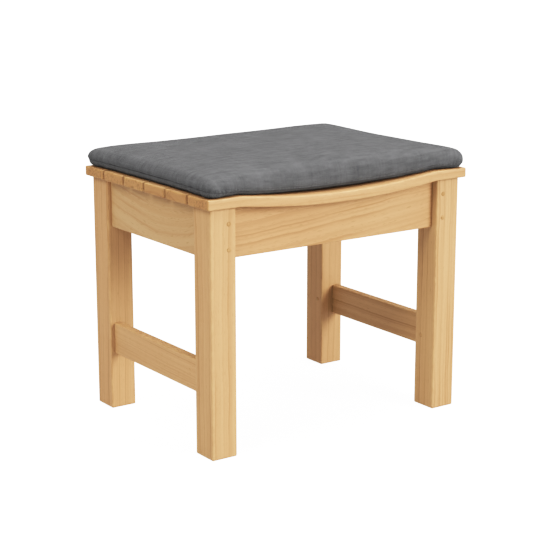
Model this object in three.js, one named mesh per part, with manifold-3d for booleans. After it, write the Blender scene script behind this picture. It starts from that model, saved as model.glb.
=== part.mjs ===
// A small slatted bench seat in solid oak with a loose cushion, as separate pieces.
// Millimetres. X runs along the bench, Y from its front to its back, Z up.
// The origin is on the floor, under the middle of the bench.

import * as THREE from 'three';
import { mergeVertices } from 'three/addons/utils/BufferGeometryUtils.js';
import Module from 'manifold-3d';

const wasm = await Module();
wasm.setup();

// ---- Driving dimensions ----

const FIT = 0.3;                    // clearance between two pieces that meet
const ARRIS = 1.2;                  // chamfer along the edges of slats and rails

const SEAT_HEIGHT = 440;            // floor to the top of the slats, at their ends
const LEG_SPAN_X = 522.2;           // outside of the left legs to outside of the right legs
const LEG_SPAN_Y = 388;             // outside of the front legs to outside of the back legs
const LEG_WIDTH = 48.6;             // leg section along X
const LEG_DEPTH = 51.6;             // leg section along Y
const LEG_ARRIS = 2.4;              // rounding of the leg's long edges
const FOOT_CHAMFER = 1.5;           // chamfer round the foot and the top of a leg

const SLAT_COUNT = 6;
const SLAT_GAP = 6.75;
const SLAT_THICKNESS = 17;
const SLAT_OVERHANG_X = 9.7;        // slat ends beyond the legs
const SLAT_OVERHANG_Y = 8.9;        // outer slats beyond the legs
const DISH_DEPTH = 14;              // how far the seat dips in its middle
const DISH_MARGIN = 1.3;            // the dip starts this far inside the legs
const KNEE_RADIUS = 120;            // rounding where the dip meets the level ends

const APRON_THICKNESS = 20;
const FRONT_APRON_HEIGHT = 87;      // at its ends, under the slats
const SIDE_APRON_HEIGHT = 86;
const FRONT_RECESS = 12.7;          // front and back aprons behind the leg faces
const SIDE_RECESS = 7.8;            // side aprons and stretchers behind the leg faces

const STRETCHER_FLOOR_GAP = 103.5;
const STRETCHER_HEIGHT = 56;
const STRETCHER_THICKNESS = 15.8;

const TENON_THICKNESS = 9;          // apron tenons
const STRETCHER_TENON = 8;          // stretcher tenons
const TENON_SHOULDER = 6;           // rail below its tenon
const TENON_TOP_SHOULDER = 11;      // leg left above an apron's mortise
const SIDE_TENON_LENGTH = 25.6;
const MORTISE_WALL = 2.6;           // wood between two mortises in one leg

const PEG_DIAMETER = 8;
const PEG_PROUD = 0.8;
const PEG_BEYOND = 3;               // peg tip past its tenon
const FRONT_PEG_EDGE = 13.7;        // peg centre from the inner edge of the leg
const LOW_PEG_EDGE = 14.7;          // the same for the stretcher pegs
const FRONT_PEG_HEIGHTS = [17.6, 60];   // above the bottom of the front and back aprons
const SIDE_PEG_HEIGHTS = [30, 47];      // above the bottom of the side aprons

const BEARER_WIDTH = 22;            // cross bearer under the middle of the slats
const BEARER_HEIGHT = 38;
const HOUSING_DEPTH = 8;            // bearer end let into the aprons
const CLEAT_SIZE = 20;              // square cleats inside the side aprons

const SCREW_SHANK = 4;
const SCREW_HEAD = 8;
const SCREW_HEAD_CONE = 2.4;
const SCREW_TIP = 4;
const SCREW_BITE = 10;              // screw length in a slat
const SCREW_SINK = 0.5;             // screw head below the surface

const DOWEL_DIAMETER = 8;
const DOWEL_IN_LEG = 16;
const DOWEL_IN_SLAT = 10;
const DOWEL_INSET = 12.5;           // dowel centre from the outer faces of the leg

const CUSHION_INSET_X = 12.8;       // cushion inside the seat's edges
const CUSHION_INSET_Y = 6.9;
const CUSHION_HEIGHT = 34;          // above the level ends of the seat
const CUSHION_CORNER = 32;          // corner radius in plan
const CUSHION_EDGE = 7;             // soft edge round the top and bottom
const COVER_THICKNESS = 1.4;
const FILLING_SLOT = 1;             // height of the slit in the back of the cover
const FILLING_SLOT_LENGTH = 240;
const CUSHION_REST = 0.5;           // cushion above the slats

const DIP_STEPS = 7;                // straight stretches in each half of the dip
const KNEE_STEPS = 3;               // and in each knee
const ROUND_SIDES = 12;             // sides of pegs, dowels and screws

// ---- Sizes worked out from them ----

const legOuterX = LEG_SPAN_X / 2;
const legOuterY = LEG_SPAN_Y / 2;
const legInnerX = legOuterX - LEG_WIDTH;
const legInnerY = legOuterY - LEG_DEPTH;
const slatUnder = SEAT_HEIGHT - SLAT_THICKNESS;
const slatLength = LEG_SPAN_X + 2 * SLAT_OVERHANG_X;
const seatDepth = LEG_SPAN_Y + 2 * SLAT_OVERHANG_Y;
const slatWidth = (seatDepth - (SLAT_COUNT - 1) * SLAT_GAP) / SLAT_COUNT;
const slatPitch = slatWidth + SLAT_GAP;
const middle = (SLAT_COUNT - 1) / 2;

const apronOuterY = legOuterY - FRONT_RECESS;
const apronInnerY = apronOuterY - APRON_THICKNESS;
const apronOuterX = legOuterX - SIDE_RECESS;
const apronInnerX = apronOuterX - APRON_THICKNESS;
const frontApronFloor = slatUnder - FRONT_APRON_HEIGHT;
const sideApronFloor = slatUnder - SIDE_APRON_HEIGHT;
const tenonTop = slatUnder - TENON_TOP_SHOULDER;
const sideTenonX = [
  apronOuterX - (APRON_THICKNESS + TENON_THICKNESS) / 2,
  apronOuterX - (APRON_THICKNESS - TENON_THICKNESS) / 2,
];
const frontTenonY = [
  apronOuterY - (APRON_THICKNESS + TENON_THICKNESS) / 2,
  apronOuterY - (APRON_THICKNESS - TENON_THICKNESS) / 2,
];
const stretcherTenonX = [
  apronOuterX - (STRETCHER_THICKNESS + STRETCHER_TENON) / 2,
  apronOuterX - (STRETCHER_THICKNESS - STRETCHER_TENON) / 2,
];
const frontTenonEnd = sideTenonX[0] - 2 * FIT - MORTISE_WALL;
const sideTenonEnd = legInnerY + SIDE_TENON_LENGTH;
const sidePegY = (legInnerY + apronInnerY) / 2;    // side apron pegs clear the long aprons

const bearerTop = slatUnder - DISH_DEPTH - FIT;
const bearerFloor = bearerTop - BEARER_HEIGHT;
const bearerEnd = apronInnerY + HOUSING_DEPTH;
const cleatOuterX = apronInnerX - FIT;
const cleatX = cleatOuterX - CLEAT_SIZE / 2;

// The dip is an arc of this radius, met at each end by a knee arc that is tangent to the level end.
const kneeX = legInnerX - DISH_MARGIN;
const dishRadius = (kneeX * kneeX + DISH_DEPTH * DISH_DEPTH) / (2 * DISH_DEPTH) - KNEE_RADIUS;
const lean = Math.asin(kneeX / (dishRadius + KNEE_RADIUS));

// Dished outlines have their points at the same places along X: evenly over the dip, then over each knee.
const dipEndX = dishRadius * Math.sin(lean);
const rightStations = [];
for (let step = 1; step <= DIP_STEPS; step += 1) {
  rightStations.push((dipEndX * step) / DIP_STEPS);
}
for (let step = 1; step <= KNEE_STEPS; step += 1) {
  rightStations.push(dipEndX + ((kneeX - dipEndX) * step) / KNEE_STEPS);
}
const stations = [...rightStations.map((x) => -x).reverse(), 0, ...rightStations];
const cleatTop = seatLine(cleatOuterX - CLEAT_SIZE, SLAT_THICKNESS) - FIT;

// ---- Materials ----

const paleOak = new THREE.MeshStandardMaterial({ color: 0xd8b27c, roughness: 0.55, metalness: 0 });
const endOak = new THREE.MeshStandardMaterial({ color: 0xc39a62, roughness: 0.6, metalness: 0 });
const pegOak = new THREE.MeshStandardMaterial({ color: 0xb98f5b, roughness: 0.55, metalness: 0 });
const beech = new THREE.MeshStandardMaterial({ color: 0xcfae82, roughness: 0.65, metalness: 0 });
const zincSteel = new THREE.MeshStandardMaterial({ color: 0xb9bcc0, roughness: 0.35, metalness: 1 });
const greyWeave = new THREE.MeshStandardMaterial({ color: 0x6f7070, roughness: 0.95, metalness: 0 });
const foam = new THREE.MeshStandardMaterial({ color: 0xe9e3c8, roughness: 0.9, metalness: 0 });

// ---- Solids ----

function solidOf(geometry) {
  const bare = geometry.clone();
  bare.deleteAttribute('normal');
  bare.deleteAttribute('uv');
  const merged = mergeVertices(bare, 1e-4);
  return new wasm.Manifold(new wasm.Mesh({
    numProp: 3,
    vertProperties: new Float32Array(merged.attributes.position.array),
    triVerts: new Uint32Array(merged.index.array),
  }));
}

function geometryOf(solid) {
  const mesh = solid.getMesh();
  const geometry = new THREE.BufferGeometry();
  geometry.setAttribute('position', new THREE.BufferAttribute(mesh.vertProperties, 3));
  geometry.setIndex(new THREE.BufferAttribute(mesh.triVerts, 1));
  geometry.computeVertexNormals();
  return geometry;
}

// A square-edged block between two opposite corners, given in any order.
function block(a, b) {
  const low = new THREE.Vector3(...a).min(new THREE.Vector3(...b));
  const high = new THREE.Vector3(...a).max(new THREE.Vector3(...b));
  const size = high.clone().sub(low);
  const box = new THREE.BoxGeometry(size.x, size.y, size.z);
  const centre = low.add(high).multiplyScalar(0.5);
  return solidOf(box.translate(centre.x, centre.y, centre.z));
}

// An outline in X and Z carried along Y, with its edges chamfered.
function plank(outline, fromY, toY, chamfer) {
  const geometry = new THREE.ExtrudeGeometry(outline, {
    depth: toY - fromY - 2 * chamfer,
    bevelEnabled: chamfer > 0,
    bevelThickness: chamfer,
    bevelSize: chamfer,
    bevelOffset: -chamfer,
    bevelSegments: 1,
  });
  return solidOf(geometry.rotateX(Math.PI / 2).translate(0, toY - chamfer, 0));
}

function rectangle(fromX, toX, fromZ, toZ) {
  return new THREE.Shape([
    new THREE.Vector2(fromX, fromZ),
    new THREE.Vector2(toX, fromZ),
    new THREE.Vector2(toX, toZ),
    new THREE.Vector2(fromX, toZ),
  ]);
}

function roundedRectangle(halfX, halfY, radius) {
  const shape = new THREE.Shape();
  const quarter = Math.PI / 2;
  shape.moveTo(halfX, radius - halfY);
  shape.absarc(halfX - radius, halfY - radius, radius, 0, quarter);
  shape.absarc(radius - halfX, halfY - radius, radius, quarter, 2 * quarter);
  shape.absarc(radius - halfX, radius - halfY, radius, 2 * quarter, 3 * quarter);
  shape.absarc(halfX - radius, radius - halfY, radius, 3 * quarter, 4 * quarter);
  return shape;
}

// The height of the line that lies `below` under the top of the slats: level at the ends, then round
// the knee and along the dip. Both arcs keep their centres, so these lines are parallel.
function seatLine(x, below) {
  const across = Math.abs(x);
  const dip = dishRadius + below;
  const knee = KNEE_RADIUS - below;
  if (across >= kneeX) {
    return SEAT_HEIGHT - below;
  }
  if (across > dip * Math.sin(lean)) {
    return SEAT_HEIGHT - KNEE_RADIUS + Math.sqrt(knee ** 2 - (kneeX - across) ** 2);
  }
  return SEAT_HEIGHT - DISH_DEPTH + dishRadius - Math.sqrt(dip ** 2 - across ** 2);
}

function dishedPoints(halfX, below) {
  const inner = stations.filter((x) => Math.abs(x) < halfX - 2 * ARRIS);
  return [-halfX, ...inner, halfX].map((x) => new THREE.Vector2(x, seatLine(x, below)));
}

// ---- Hardware, used both as pieces and, grown by the fit, as the tools that cut their holes ----

const UPRIGHT = [Math.PI / 2, 0, 0];    // turns a lathe's own Y axis to +Z
const ALONG_Y = [0, 0, 0];              // leaves it along +Y
const ALONG_X = [0, 0, -Math.PI / 2];   // turns it to +X

function rodGeometry(diameter, length, grow) {
  const radius = diameter / 2 + grow;
  const rod = new THREE.CylinderGeometry(radius, radius, length + 2 * grow, ROUND_SIDES);
  return rod.translate(0, length / 2, 0);
}

// A countersunk screw pointing along +Y, its head's face at 0.
function screwGeometry(length) {
  const head = SCREW_HEAD / 2;
  const shank = SCREW_SHANK / 2;
  const profile = [
    new THREE.Vector2(0, 0),
    new THREE.Vector2(head, 0),
    new THREE.Vector2(shank, SCREW_HEAD_CONE),
    new THREE.Vector2(shank, length - SCREW_TIP),
    new THREE.Vector2(0, length),
  ];
  return new THREE.LatheGeometry(profile, ROUND_SIDES);
}

// The hole for that screw: open at the head, and as wide as the shank to its full depth.
function screwHoleGeometry(length) {
  const head = SCREW_HEAD / 2 + FIT;
  const shank = SCREW_SHANK / 2 + FIT;
  const profile = [
    new THREE.Vector2(0, -SCREW_SINK - FIT),
    new THREE.Vector2(head, -SCREW_SINK - FIT),
    new THREE.Vector2(head, FIT / 2),
    new THREE.Vector2(shank, SCREW_HEAD_CONE + FIT),
    new THREE.Vector2(shank, length + FIT),
    new THREE.Vector2(0, length + FIT),
  ];
  return new THREE.LatheGeometry(profile, ROUND_SIDES);
}

function placedTool(geometry, rotation, position) {
  const placing = new THREE.Matrix4().makeRotationFromEuler(new THREE.Euler(...rotation));
  placing.setPosition(...position);
  return solidOf(geometry.applyMatrix4(placing));
}

// ---- The lists of hardware ----

const corners = [
  ['front_left', -1, -1],
  ['front_right', 1, -1],
  ['back_left', -1, 1],
  ['back_right', 1, 1],
];
const sides = [['left', -1], ['right', 1]];
const slatNumbers = Array.from({ length: SLAT_COUNT }, (_, index) => index + 1);

function slatY(number) {
  return (number - 1 - middle) * slatPitch;
}

// Draw pegs: each starts on a leg face and goes through one tenon.
const pegs = [];
for (const [corner, sx, sy] of corners) {
  const facing = FRONT_RECESS + (APRON_THICKNESS + TENON_THICKNESS) / 2 + PEG_BEYOND;
  FRONT_PEG_HEIGHTS.forEach((height, index) => {
    pegs.push({
      name: `apron_peg_${corner}_${index + 1}`,
      corner,
      length: facing + PEG_PROUD,
      rotation: sy < 0 ? ALONG_Y : [Math.PI, 0, 0],
      position: [sx * (legInnerX + FRONT_PEG_EDGE), sy * (legOuterY + PEG_PROUD), frontApronFloor + height],
    });
  });
  const inward = LEG_WIDTH - SIDE_RECESS - (APRON_THICKNESS - TENON_THICKNESS) / 2 + PEG_BEYOND;
  SIDE_PEG_HEIGHTS.forEach((height, index) => {
    pegs.push({
      name: `side_peg_${corner}_${index + 1}`,
      corner,
      length: inward + PEG_PROUD,
      rotation: sx > 0 ? ALONG_X : [0, 0, Math.PI / 2],
      position: [sx * (legInnerX - PEG_PROUD), sy * sidePegY, sideApronFloor + height],
    });
  });
  const low = LEG_WIDTH - SIDE_RECESS - (STRETCHER_THICKNESS - STRETCHER_TENON) / 2 + PEG_BEYOND;
  pegs.push({
    name: `stretcher_peg_${corner}`,
    corner,
    length: low + PEG_PROUD,
    rotation: sx > 0 ? ALONG_X : [0, 0, Math.PI / 2],
    position: [
      sx * (legInnerX - PEG_PROUD),
      sy * (legInnerY + LOW_PEG_EDGE),
      STRETCHER_FLOOR_GAP + STRETCHER_HEIGHT / 2,
    ],
  });
}

const dowels = corners.map(([corner, sx, sy]) => ({
  name: `slat_dowel_${corner}`,
  corner,
  length: DOWEL_IN_LEG + DOWEL_IN_SLAT,
  position: [sx * (legOuterX - DOWEL_INSET), sy * (legOuterY - DOWEL_INSET), slatUnder - DOWEL_IN_LEG],
}));

// Screws up through the cleats into the inner slats, and through the bearer into every slat.
const screws = [];
for (const number of slatNumbers) {
  const inner = number > 1 && number < SLAT_COUNT;
  const cleatScrew = CLEAT_SIZE + FIT + SCREW_BITE - SCREW_SINK;
  const bearerScrew = BEARER_HEIGHT + FIT + SCREW_BITE - SCREW_SINK;
  if (inner) {
    for (const [side, sx] of sides) {
      screws.push({
        name: `cleat_screw_${side}_${number}`,
        length: cleatScrew,
        position: [sx * cleatX, slatY(number), cleatTop - CLEAT_SIZE + SCREW_SINK],
      });
    }
  }
  const outer = (apronInnerY + Math.abs(slatY(number)) - slatWidth / 2) / 2;
  screws.push({
    name: `bearer_screw_${number}`,
    length: bearerScrew,
    position: [0, inner ? slatY(number) : Math.sign(slatY(number)) * outer, bearerFloor + SCREW_SINK],
  });
}

function cutPegs(solid, list) {
  const tools = list.map((peg) => {
    const rod = rodGeometry(PEG_DIAMETER, peg.length, FIT);
    return placedTool(rod, peg.rotation, peg.position);
  });
  return tools.reduce((left, tool) => left.subtract(tool), solid);
}

function cutDowels(solid, list) {
  const tools = list.map((dowel) => {
    const rod = rodGeometry(DOWEL_DIAMETER, dowel.length, FIT);
    return placedTool(rod, UPRIGHT, dowel.position);
  });
  return tools.reduce((left, tool) => left.subtract(tool), solid);
}

function cutScrews(solid, list) {
  const tools = list.map((screw) => placedTool(screwHoleGeometry(screw.length), UPRIGHT, screw.position));
  return tools.reduce((left, tool) => left.subtract(tool), solid);
}

// ---- Pieces ----

function leg(corner, sx, sy) {
  const top = slatUnder - FIT;
  const section = roundedRectangle(LEG_WIDTH / 2, LEG_DEPTH / 2, LEG_ARRIS);
  const post = new THREE.ExtrudeGeometry(section, {
    depth: top - 2 * FOOT_CHAMFER,
    curveSegments: 2,
    bevelThickness: FOOT_CHAMFER,
    bevelSize: FOOT_CHAMFER,
    bevelOffset: -FOOT_CHAMFER,
    bevelSegments: 1,
  });
  post.translate(sx * (legOuterX - LEG_WIDTH / 2), sy * (legOuterY - LEG_DEPTH / 2), FOOT_CHAMFER);
  const mortises = [
    block(
      [sx * (legInnerX - FIT), sy * (frontTenonY[0] - FIT), frontApronFloor + TENON_SHOULDER - FIT],
      [sx * (frontTenonEnd + FIT), sy * (frontTenonY[1] + FIT), tenonTop + FIT],
    ),
    block(
      [sx * (sideTenonX[0] - FIT), sy * (legInnerY - FIT), sideApronFloor + TENON_SHOULDER - FIT],
      [sx * (sideTenonX[1] + FIT), sy * (sideTenonEnd + FIT), tenonTop + FIT],
    ),
    block(
      [sx * (stretcherTenonX[0] - FIT), sy * (legInnerY - FIT), STRETCHER_FLOOR_GAP + TENON_SHOULDER - FIT],
      [
        sx * (stretcherTenonX[1] + FIT),
        sy * (sideTenonEnd + FIT),
        STRETCHER_FLOOR_GAP + STRETCHER_HEIGHT - TENON_SHOULDER + FIT,
      ],
    ),
  ];
  const cut = mortises.reduce((left, mortise) => left.subtract(mortise), solidOf(post));
  const pegged = cutPegs(cut, pegs.filter((peg) => peg.corner === corner));
  return cutDowels(pegged, dowels.filter((dowel) => dowel.corner === corner));
}

// Front and back aprons: the top edge follows the underside of the dished slats.
function longApron(sy) {
  const half = legInnerX - FIT;
  const outline = new THREE.Shape([
    ...dishedPoints(half, SLAT_THICKNESS + FIT),
    new THREE.Vector2(half, frontApronFloor),
    new THREE.Vector2(-half, frontApronFloor),
  ]);
  const faces = [sy * apronInnerY, sy * apronOuterY];
  const body = plank(outline, Math.min(...faces), Math.max(...faces), ARRIS);
  const tenons = block(
    [-frontTenonEnd, sy * frontTenonY[0], frontApronFloor + TENON_SHOULDER],
    [-half + ARRIS + FIT, sy * frontTenonY[1], tenonTop],
  ).add(block(
    [frontTenonEnd, sy * frontTenonY[0], frontApronFloor + TENON_SHOULDER],
    [half - ARRIS - FIT, sy * frontTenonY[1], tenonTop],
  ));
  const housing = block(
    [-BEARER_WIDTH / 2 - FIT, sy * (apronInnerY - FIT), bearerFloor - FIT],
    [BEARER_WIDTH / 2 + FIT, sy * (bearerEnd + FIT), slatUnder],
  );
  const facePegs = pegs.filter((peg) => peg.name.startsWith('apron_peg'));
  return cutPegs(body.add(tenons).subtract(housing), facePegs);
}

// A rail between the front and back legs, with a tenon on each end.
function sideRail(sx, outerX, thickness, floor, top, tenonX, tenonFloor, tenonCeiling) {
  const half = legInnerY - FIT;
  const innerX = outerX - thickness;
  const faces = [sx * innerX, sx * outerX];
  const outline = rectangle(Math.min(...faces), Math.max(...faces), floor, top);
  const body = plank(outline, -half, half, ARRIS);
  const tongue = block(
    [sx * tenonX[0], -sideTenonEnd, tenonFloor],
    [sx * tenonX[1], sideTenonEnd, tenonCeiling],
  );
  return cutPegs(body.add(tongue), pegs.filter((peg) => !peg.name.startsWith('apron_peg')));
}

function slat(number) {
  const half = slatLength / 2;
  const under = dishedPoints(half, SLAT_THICKNESS).reverse();
  const outline = new THREE.Shape([...dishedPoints(half, 0), ...under]);
  const from = slatY(number) - slatWidth / 2;
  const board = plank(outline, from, from + slatWidth, ARRIS);
  return cutDowels(cutScrews(board, screws), dowels);
}

function bearer() {
  const half = bearerEnd;
  const beam = block([-BEARER_WIDTH / 2, -half, bearerFloor], [BEARER_WIDTH / 2, half, bearerTop]);
  return cutScrews(beam, screws);
}

function cleat(sx) {
  const half = legInnerY - FIT;
  const strip = block(
    [sx * cleatOuterX, -half, cleatTop - CLEAT_SIZE],
    [sx * (cleatOuterX - CLEAT_SIZE), half, cleatTop],
  );
  return cutScrews(strip, screws);
}

// The cushion's outer form taken in by `inset` all over: a dished underside, a level top,
// round corners in plan and a soft edge.
function cushionForm(inset) {
  const halfX = slatLength / 2 - CUSHION_INSET_X - inset;
  const halfY = seatDepth / 2 - CUSHION_INSET_Y - inset;
  const top = SEAT_HEIGHT + CUSHION_HEIGHT - inset;
  const outline = new THREE.Shape([
    ...dishedPoints(halfX, -CUSHION_REST - inset),
    new THREE.Vector2(halfX, top),
    new THREE.Vector2(-halfX, top),
  ]);
  const pad = plank(outline, -halfY, halfY, 0);
  const plan = roundedRectangle(halfX, halfY, CUSHION_CORNER - inset);
  const low = SEAT_HEIGHT - DISH_DEPTH;
  const prism = new THREE.ExtrudeGeometry(plan, {
    depth: top - low - CUSHION_EDGE,
    curveSegments: 4,
    bevelThickness: CUSHION_EDGE,
    bevelSize: CUSHION_EDGE,
    bevelOffset: -CUSHION_EDGE,
    bevelSegments: 2,
  });
  return pad.intersect(solidOf(prism.translate(0, 0, low)));
}

function cushionCover() {
  const slotZ = SEAT_HEIGHT + CUSHION_HEIGHT / 2;
  const slot = block(
    [-FILLING_SLOT_LENGTH / 2, 0, slotZ - FILLING_SLOT / 2],
    [FILLING_SLOT_LENGTH / 2, seatDepth, slotZ + FILLING_SLOT / 2],
  );
  const shell = cushionForm(0).subtract(cushionForm(COVER_THICKNESS));
  return shell.subtract(slot);
}

// ---- The bench ----

const bench = new THREE.Group();
const timber = new THREE.Group();
const hardware = new THREE.Group();
const cushion = new THREE.Group();
bench.add(timber, hardware, cushion);

function addPiece(group, name, geometry, material, rotation = [0, 0, 0], position = [0, 0, 0]) {
  const mesh = new THREE.Mesh(geometry, material);
  mesh.name = name;
  mesh.rotation.set(...rotation);
  mesh.position.set(...position);
  group.add(mesh);
}

for (const [corner, sx, sy] of corners) {
  addPiece(timber, `leg_${corner}`, geometryOf(leg(corner, sx, sy)), paleOak);
}
addPiece(timber, 'apron_front', geometryOf(longApron(-1)), paleOak);
addPiece(timber, 'apron_back', geometryOf(longApron(1)), paleOak);
for (const [side, sx] of sides) {
  const apron = sideRail(sx, apronOuterX, APRON_THICKNESS, sideApronFloor, slatUnder - FIT,
    sideTenonX, sideApronFloor + TENON_SHOULDER, tenonTop);
  addPiece(timber, `apron_${side}`, geometryOf(apron), endOak);
  const stretcherTop = STRETCHER_FLOOR_GAP + STRETCHER_HEIGHT;
  const stretcher = sideRail(sx, apronOuterX, STRETCHER_THICKNESS, STRETCHER_FLOOR_GAP, stretcherTop,
    stretcherTenonX, STRETCHER_FLOOR_GAP + TENON_SHOULDER, stretcherTop - TENON_SHOULDER);
  addPiece(timber, `stretcher_${side}`, geometryOf(stretcher), endOak);
  addPiece(timber, `cleat_${side}`, geometryOf(cleat(sx)), beech);
}
for (const number of slatNumbers) {
  addPiece(timber, `slat_${number}`, geometryOf(slat(number)), paleOak);
}
addPiece(timber, 'seat_bearer', geometryOf(bearer()), beech);

for (const peg of pegs) {
  const rod = rodGeometry(PEG_DIAMETER, peg.length, 0);
  addPiece(hardware, peg.name, rod, pegOak, peg.rotation, peg.position);
}
for (const dowel of dowels) {
  const rod = rodGeometry(DOWEL_DIAMETER, dowel.length, 0);
  addPiece(hardware, dowel.name, rod, beech, UPRIGHT, dowel.position);
}
for (const screw of screws) {
  addPiece(hardware, screw.name, screwGeometry(screw.length), zincSteel, UPRIGHT, screw.position);
}

addPiece(cushion, 'cushion_cover', geometryOf(cushionCover()), greyWeave);
addPiece(cushion, 'cushion_foam', geometryOf(cushionForm(COVER_THICKNESS + FIT)), foam);

export default bench;
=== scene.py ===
"""Low slatted oak stool with a dished seat and a loose padded cushion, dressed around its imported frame.

Lengths are metres in the row frame: x runs along the slats, y from front to back, z up from the floor.
Boards and slats are eased outlines carried along a line, pegs and screws are turned profiles,
and the cushion is a crowned closed form that is blown up by a short cloth simulation.
"""

import math

import bpy
import numpy as np
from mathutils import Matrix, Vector
from mathutils.bvhtree import BVHTree


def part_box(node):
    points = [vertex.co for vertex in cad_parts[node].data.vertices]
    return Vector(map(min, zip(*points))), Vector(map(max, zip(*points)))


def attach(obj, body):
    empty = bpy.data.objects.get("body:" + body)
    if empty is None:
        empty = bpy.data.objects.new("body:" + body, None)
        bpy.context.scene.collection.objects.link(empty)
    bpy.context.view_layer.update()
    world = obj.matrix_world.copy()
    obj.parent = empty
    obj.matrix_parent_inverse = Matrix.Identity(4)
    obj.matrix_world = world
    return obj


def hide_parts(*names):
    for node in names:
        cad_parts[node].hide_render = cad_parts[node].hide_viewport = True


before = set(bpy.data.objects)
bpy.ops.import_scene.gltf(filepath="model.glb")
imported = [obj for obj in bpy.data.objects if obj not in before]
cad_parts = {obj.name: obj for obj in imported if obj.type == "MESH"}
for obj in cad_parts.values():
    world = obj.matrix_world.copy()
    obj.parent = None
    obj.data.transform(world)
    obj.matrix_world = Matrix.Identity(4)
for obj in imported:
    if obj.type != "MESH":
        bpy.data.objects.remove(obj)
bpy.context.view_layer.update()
chance = np.random.default_rng(19)

# The seat line, as the joiner cut it
SEAT_HEIGHT = 0.440
DISH_DEPTH = 0.014
KNEE_RADIUS = 0.120
KNEE_X = 0.2112
DISH_RADIUS = 1.480
LEAN = math.asin(KNEE_X / (DISH_RADIUS + KNEE_RADIUS))
SLAT_COUNT = 6
SLAT_THICKNESS = 0.017

# Rounds on the timber's edges, the flat strip kept beside each round, and how much of the lightening of
# rounds (partly rubbing, partly painted highlight) a round's first point takes
LEG_ARRIS = 0.0026
BOARD_ARRIS = 0.0016
SLAT_ARRIS = 0.0023
END_ARRIS_SHARE = 0.85
EDGE_GUARD = 0.004
HALF_ROUND = 0.6

# How each post was sawn: where the pith lies and how the trunk leans; then how far its colour moves to the
# warmer, darker oak, fully for the back posts
LEG_CUTS = {
    "front_left": ((0.19, 0.16), (0.004, 0.006), 0.2),
    "front_right": ((-0.17, 0.21), (-0.006, 0.003), 0.35),
    "back_left": ((0.22, -0.15), (0.010, -0.004), 1.0),
    "back_right": ((-0.20, -0.18), (-0.003, 0.008), 1.0),
}
TRUNK_START = (1, 9)
TINT_SPREAD = 0.15

# Draw pegs: shares of the radius from the buried end to the domed face, and depths under that face
PEG_SIDES = 24
PEG_RADII = np.array([0.5, 0.85, 1.0, 1.0, 0.97, 0.88, 0.70, 0.40, 0.10])
PEG_DOME = np.array([0.0009, 0.0005, 0.0002, 0.0001, 0, 0])
PEG_CHAMFER_SHARE = 0.2

# Countersunk screws: shares of the head's radius across its face, then sizes of the recess and the thread
SCREW_SIDES = 32
FACE_RADII = np.array([0.04, 0.12, 0.2, 0.3, 0.4, 0.5, 0.6, 0.8, 0.96])
CONE_HEIGHTS = [0.0001, 0.0004, 0.0024]
RECESS_DEPTH = 0.0012
RECESS_BAR = 0.14
RECESS_REACH = 0.55
THREAD_RINGS = 90
THREAD_START = 0.0034
THREAD_PITCH = 0.0018
THREAD_ROOT = 0.78
THREAD_CREST = 0.16
POINT_LENGTH = 0.004

# Cushion outline: half sizes, the corner's round, and how far each side is pulled in halfway along
COVER_HALF_X = 0.2742
COVER_HALF_Y = 0.2095
COVER_CORNER = 0.024
PULL_LEFT = 0.0062
PULL_RIGHT = 0.016
PULL_FRONT = 0.0240
PULL_BACK = 0.012

# Cushion side: the rolls over and under, the belly between them, and what corners and the left side add
COVER_ROLL = 0.0145
CORNER_ROLL = 0.0075
COVER_UNDER_ROLL = 0.0090
LEFT_UNDER_ROLL = 0.0080
COVER_BELLY = 0.0090
CORNER_BELLY = 0.0055
LEFT_BELLY = 0.0050

# Cushion top: the ridge over the side, the climb from it, and the tilt, crown, sinks and waves of the top
COVER_RIDGE = 0.4722
COVER_CLIMB = 0.0042
CLIMB_REACH = 0.026
COVER_TILT = 0.0016
CORNER_FALL = 0.0030
COVER_CROWN = 0.0036
LONG_SIDE_SINK = 0.0030
LEFT_SINK = 0.0015
RIGHT_SINK = 0.0026
WAVES = ((0.0008, 29, 9, 0.6), (0.0007, -21, 43, 2.0))
TOP_EDGE = 0.474

# Cushion underside: its clearance, and how it bridges the dish near the long edges
COVER_REST = 0.0006
BRIDGE_RISE = 0.0040
BRIDGE_HALF = 0.175
BRIDGE_START = 0.6

# Blowing up, seam and cloth
REMESH_SIZE = 0.005
SWELLING = {"quality": 6, "tension_stiffness": 18, "compression_stiffness": 14, "shear_stiffness": 6,
            "bending_stiffness": 0.6, "shrink_min": -0.012, "use_pressure": True,
            "uniform_pressure_force": 4.0}
SWELL_STEPS = 20
SWELL_LIMIT = 0.0030
SIDE_SWELL = 0.3
SEAM_RISE = 0.0050
SEAM_CLIMB = 0.0075
SEAM_THREAD = 0.0006
SEAM_PROUD = 0.0001
SEAM_DIP = 0.0015
SEAM_DIP_REACH = 0.0026
SIDE_START = 0.88
SIDE_SOFT = 0.05
YARN_PITCH = 0.0016

# Oak marks: repeats in a metre along the trunk, across it and up from the pith
SWAY_REPEAT = (4.0, 9.0, 9.0)
RIPPLE_REPEAT = (28.0, 90.0, 90.0)
FADE_REPEAT = (5.0, 30.0, 30.0)
FIBRE_REPEAT = (7.0, 900.0, 900.0)
PATCH_REPEAT = (3.0, 22.0, 22.0)
FLUSH_REPEAT = (2.2, 16.0, 16.0)
PORE_REPEAT = (110.0, 2100.0, 2100.0)
SPECK_REPEAT = (40.0, 420.0, 260.0)
BAND_REPEAT = 170.0
UNEVEN_REPEAT = 60.0
GATHER_REPEAT = 22.0
# Rounds are lightened in patches: partly rubbing from use, partly a painted highlight along the arrises
RUBBED_HIGHLIGHT_REPEAT = 60.0

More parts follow.
